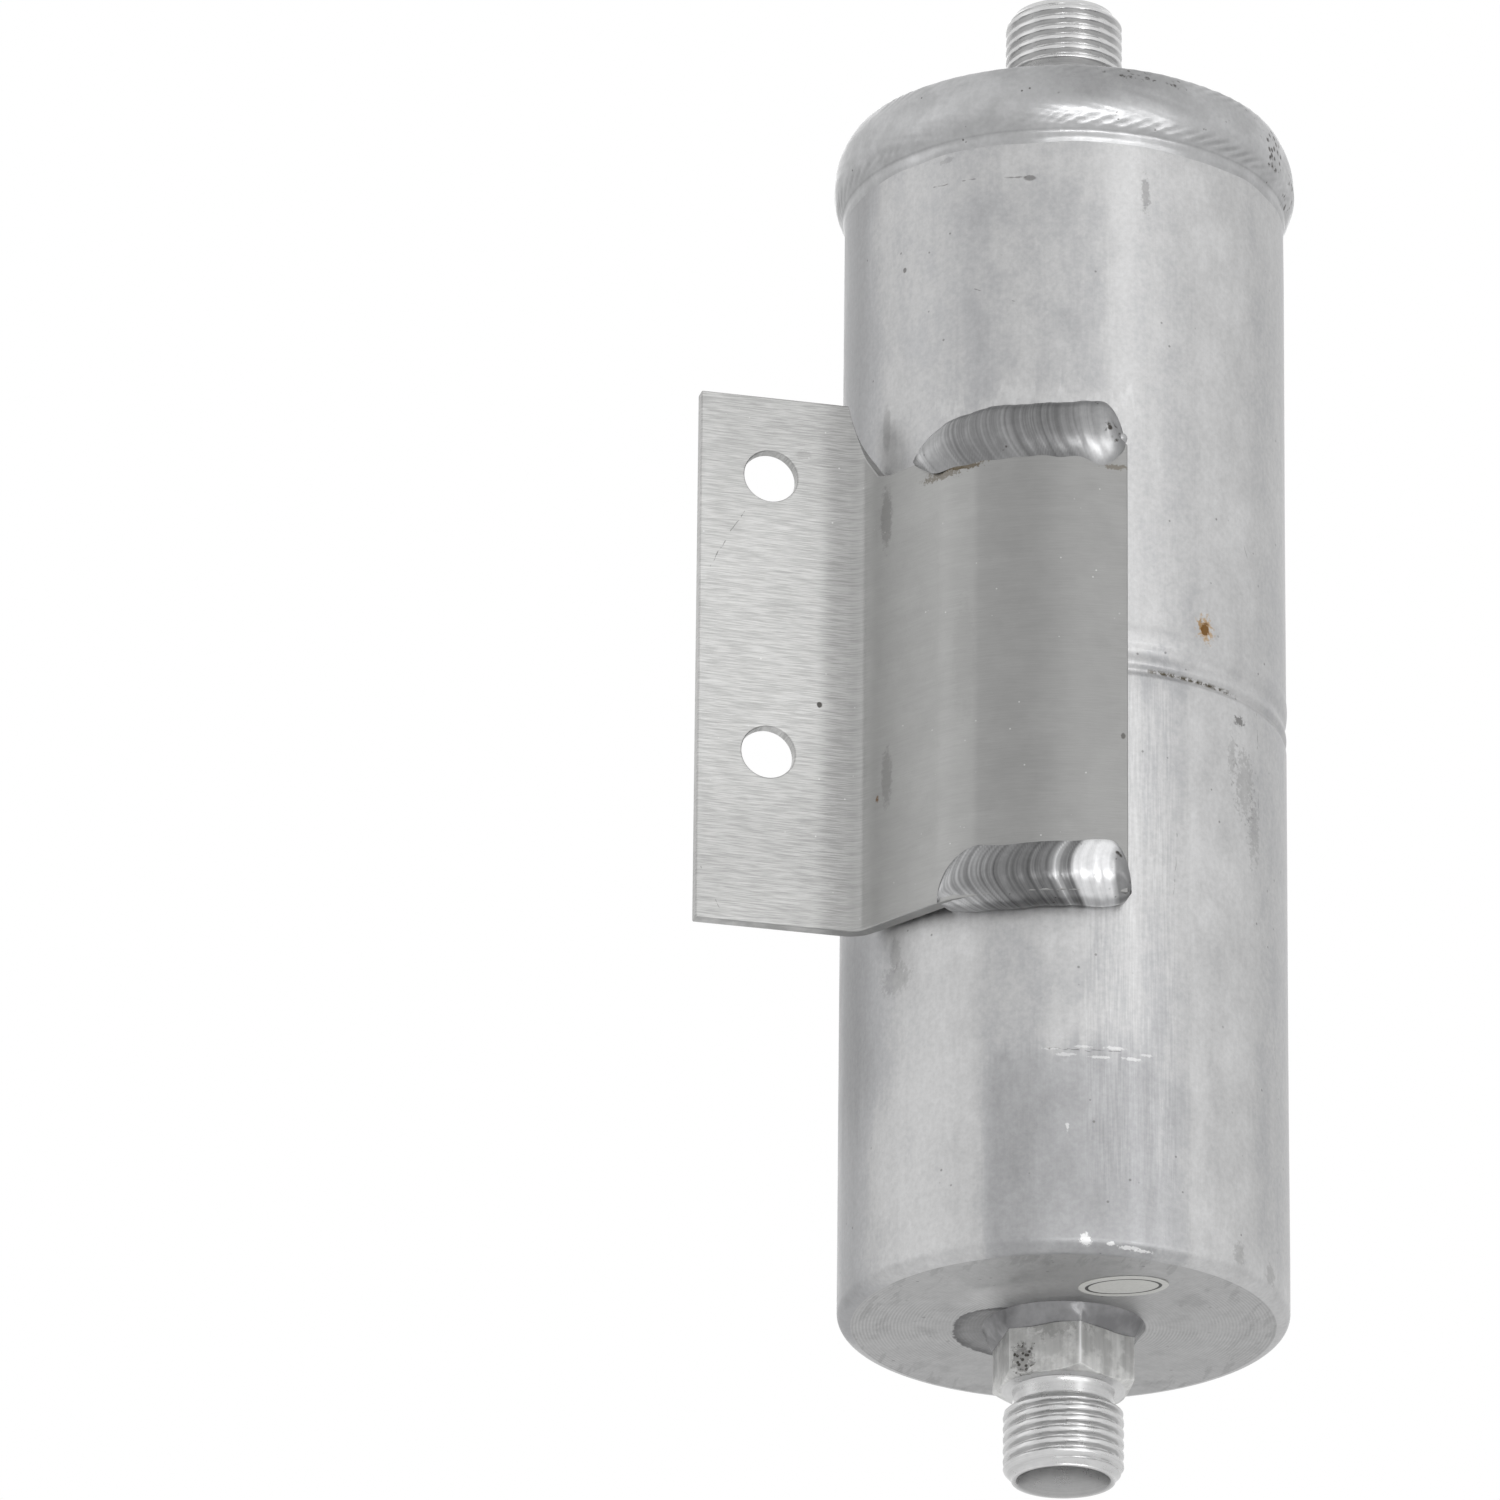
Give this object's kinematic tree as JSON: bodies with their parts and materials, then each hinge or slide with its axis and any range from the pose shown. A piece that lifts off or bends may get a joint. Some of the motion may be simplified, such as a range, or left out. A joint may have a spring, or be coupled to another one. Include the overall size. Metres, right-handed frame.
{
  "type": "receiver drier",
  "caption": "Sealed aluminium receiver drier: round canister with a threaded union at each end, a rim weld and a bent two-hole side bracket.",
  "frame": {"origin": "on the canister's axis, at the middle of the outlet union's thread", "axes": "+Z along the canister from the outlet union to the inlet union; the bracket's flange reaches towards -X and its front face looks towards -Y"},
  "size_m": [0.0848, 0.0666, 0.213],
  "materials": {
    "drawn_aluminium": "satin, drawn lengthwise, turned bottom face",
    "cap_aluminium": "matte turned",
    "weld_metal": "rippled, bright",
    "turned_aluminium": "bright turned, dull hexagon",
    "braze_metal": "dull, stained by flux",
    "sheet_aluminium": "mill finish with fine crosswise grain",
    "label_paper": "matte",
    "wire_gauze": "fine woven wire",
    "plate_steel": "plain",
    "filter_felt": "felt",
    "desiccant_beads": "matte",
    "spring_steel": "plain wire"
  },
  "bodies": {
    "root": {"canister_shell": "drawn_aluminium", "end_cap": "cap_aluminium", "rim_weld": "weld_metal", "outlet_fitting": "turned_aluminium", "inlet_fitting": "turned_aluminium", "outlet_braze": "braze_metal", "inlet_braze": "braze_metal", "mounting_bracket": "sheet_aluminium", "bracket_weld_lower": "weld_metal", "bracket_weld_upper": "weld_metal", "inspection_label": "label_paper", "outlet_strainer": "wire_gauze", "lower_plate": "plate_steel", "lower_gauze": "wire_gauze", "lower_felt_pad": "filter_felt", "desiccant_charge": "desiccant_beads", "upper_felt_pad": "filter_felt", "upper_gauze": "wire_gauze", "upper_plate": "plate_steel", "compression_spring": "spring_steel"}
  },
  "joints": []
}
